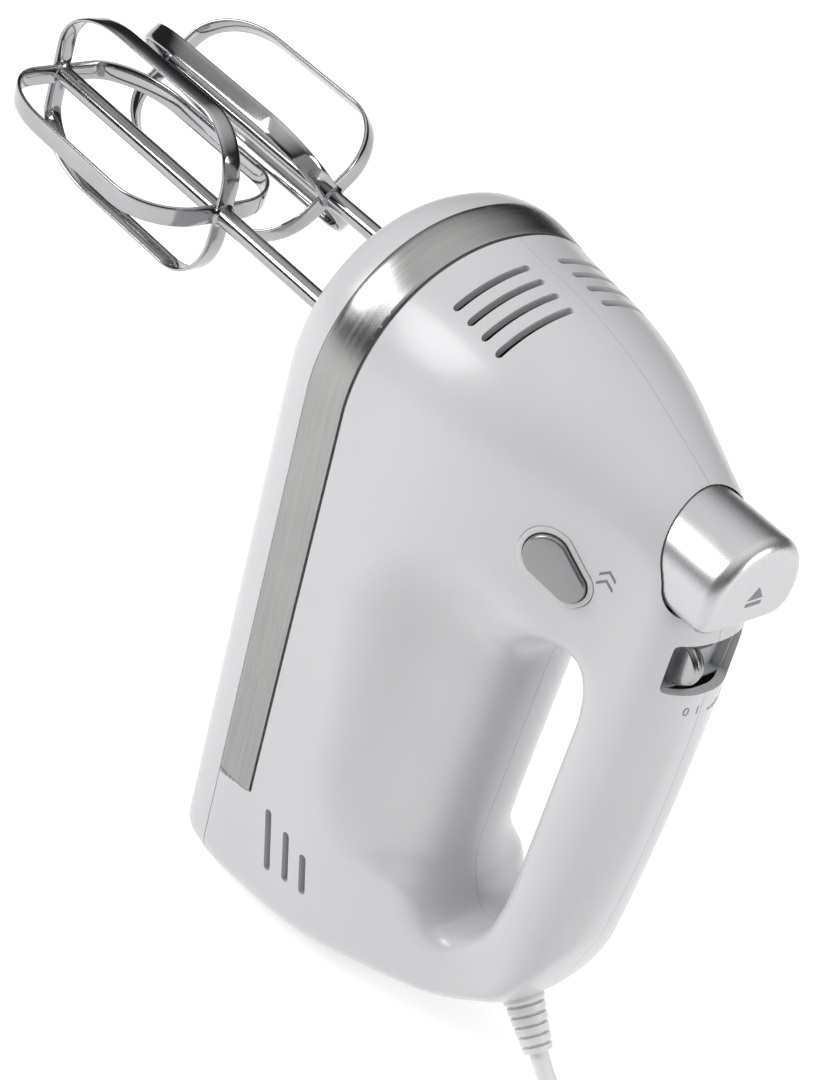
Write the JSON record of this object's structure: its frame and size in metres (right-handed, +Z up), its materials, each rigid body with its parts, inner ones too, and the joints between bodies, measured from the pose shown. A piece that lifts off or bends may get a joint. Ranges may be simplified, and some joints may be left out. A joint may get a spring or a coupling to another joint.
{
  "type": "hand mixer",
  "caption": "Hand-held electric mixer with a loop grip, eject knob, speed slider and turbo button, standing on its heel with wire-strip beaters fitted.",
  "frame": {"origin": "middle of the flat rest face on the heel, where the mixer stands between uses", "axes": "+Z up from the heel to the nose, +Y along the beaters towards their tips, X across the mixer, left side at -X"},
  "size_m": [0.0997, 0.4036, 0.209],
  "materials": {
    "white_plastic": "satin white",
    "base_plastic": "satin white",
    "band_steel": "brushed",
    "beater_steel": "polished",
    "knob_silver": "satin silver paint",
    "button_silver": "satin silver paint",
    "slider_chrome": "bright",
    "grey_plastic": "matte",
    "cord_white": "satin",
    "frame_plastic": "matte",
    "nylon": "matte",
    "bronze": "satin",
    "lamination": "matte",
    "copper_wire": "varnished",
    "steel": "satin",
    "carbon": "matte",
    "board": "matte"
  },
  "bodies": {
    "housing": {"left_shell": "white_plastic", "right_shell": "white_plastic", "base_cover": "base_plastic", "trim_band": "band_steel", "ejector_guide": "nylon", "ejector_spring": "steel", "turbo_bezel": "button_silver", "turbo_switch": "carbon", "speed_bezel": "grey_plastic", "speed_switch": "carbon", "gear_frame": "frame_plastic", "upper_gear_bushes": "bronze", "lower_gear_bushes": "bronze", "socket_collars": "grey_plastic", "stator_core": "lamination", "left_field_coil": "copper_wire", "right_field_coil": "copper_wire", "rear_bracket": "frame_plastic", "rear_bush": "bronze", "middle_bush": "bronze", "front_bush": "bronze", "brush_holders": "bronze", "carbon_brushes": "carbon", "brush_springs": "steel", "circuit_board": "board", "capacitor": "carbon", "housing_screws": "steel", "shell_screws": "steel", "strain_relief": "cord_white", "cord_clamp": "nylon", "cord_lead": "cord_white", "cord_coil": "cord_white", "cord_tail": "cord_white", "plug_body": "cord_white", "plug_pins": "steel"},
    "armature": {"motor_shaft": "steel", "armature_core": "lamination", "armature_windings": "copper_wire", "commutator": "copper_wire", "cooling_fan": "nylon", "worm": "steel"},
    "left_wheel": {"left_worm_wheel": "nylon"},
    "right_wheel": {"right_worm_wheel": "nylon"},
    "left_beater": {"left_beater_shaft": "beater_steel", "left_beater_loops": "beater_steel"},
    "right_beater": {"right_beater_shaft": "beater_steel", "right_beater_loops": "beater_steel"},
    "ejector": {"eject_knob": "knob_silver", "ejector_stem": "nylon", "ejector_plate": "nylon"},
    "turbo": {"turbo_button": "button_silver"},
    "slider": {"speed_slider": "slider_chrome", "slider_carrier": "nylon"}
  },
  "joints": [
    {"name": "motor_spin", "type": "hinge", "parent": "housing", "child": "armature", "pos_m": [0, -0.008, 0.1], "axis": [0, 0, 1], "continuous": true},
    {"name": "left_wheel_spin", "type": "hinge", "parent": "housing", "child": "left_wheel", "pos_m": [-0.0185, 0, 0.168], "axis": [0, 1, 0], "continuous": true},
    {"name": "right_wheel_spin", "type": "hinge", "parent": "housing", "child": "right_wheel", "pos_m": [0.0185, 0, 0.168], "axis": [0, 1, 0], "continuous": true},
    {"name": "left_beater_slide", "type": "slide", "parent": "left_wheel", "child": "left_beater", "axis": [0, 1, 0], "range_m": [0, 0.06]},
    {"name": "right_beater_slide", "type": "slide", "parent": "right_wheel", "child": "right_beater", "axis": [0, 1, 0], "range_m": [0, 0.06]},
    {"name": "eject_press", "type": "slide", "parent": "housing", "child": "ejector", "axis": [0, 1, 0], "range_m": [0, 0.0045], "stiffness_N_per_m": 900, "springref_m": -0.002},
    {"name": "turbo_press", "type": "slide", "parent": "housing", "child": "turbo", "axis": [0.9052, 0.4251, 0], "range_m": [0, 0.0015], "stiffness_N_per_m": 900, "springref_m": -0.001},
    {"name": "speed_slide", "type": "slide", "parent": "housing", "child": "slider", "axis": [1, 0, 0], "range_m": [0, 0.012]}
  ],
  "couplings": [
    {"joint": "left_wheel_spin", "follows": "motor_spin", "ratio": 0.068966},
    {"joint": "right_wheel_spin", "follows": "motor_spin", "ratio": -0.068966}
  ]
}
